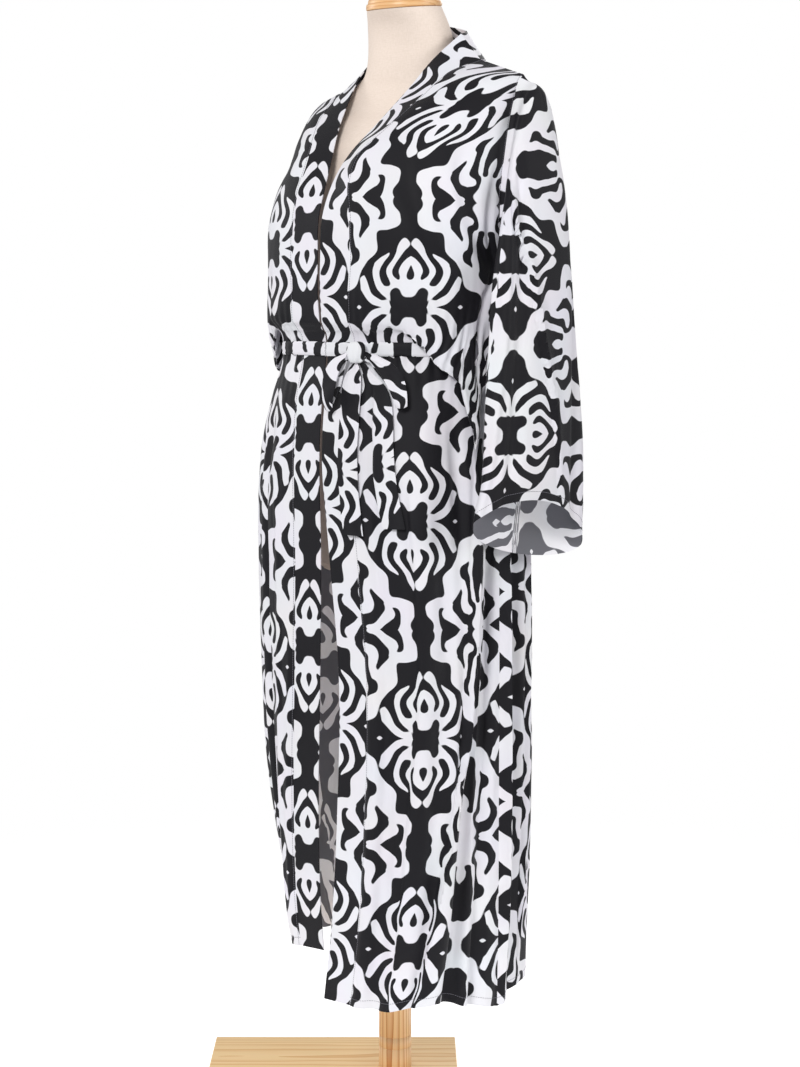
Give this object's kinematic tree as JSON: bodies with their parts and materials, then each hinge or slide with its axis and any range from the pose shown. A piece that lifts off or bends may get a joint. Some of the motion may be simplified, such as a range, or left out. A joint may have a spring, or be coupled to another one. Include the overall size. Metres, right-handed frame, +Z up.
{
  "type": "kimono coat on a dress form",
  "caption": "Long open kimono coat with wide sleeves, a front band and a tied belt bloused at the waist, on a limbless dress form with a wooden pole and flat base.",
  "frame": {"origin": "on the floor, where the pole's axis meets the underside of the base", "axes": "+Z up the pole, the coat's front looks along -Y, +X is the wearer's left"},
  "size_m": [0.6033, 0.5452, 1.7376],
  "materials": {
    "printed_viscose": "light woven viscose with a soft sheen, printed in charcoal and cool white, paler and greyer on the wrong side",
    "form_linen": "matt cream linen stretched over the form",
    "pine": "light pine, satin clear lacquer"
  },
  "bodies": {
    "root": {"base": "pine", "pole_foot": "pine", "pole_collar": "pine", "pole": "pine", "neck_cap": "pine", "form_torso": "form_linen", "front_left": "printed_viscose", "front_right": "printed_viscose", "back": "printed_viscose", "sleeve_left": "printed_viscose", "sleeve_right": "printed_viscose", "band_left": "printed_viscose", "band_right": "printed_viscose", "band_neck": "printed_viscose", "belt": "printed_viscose", "belt_knot": "printed_viscose", "belt_loop_left": "printed_viscose", "belt_loop_right": "printed_viscose", "belt_tail_left": "printed_viscose", "belt_tail_right": "printed_viscose"}
  },
  "joints": []
}
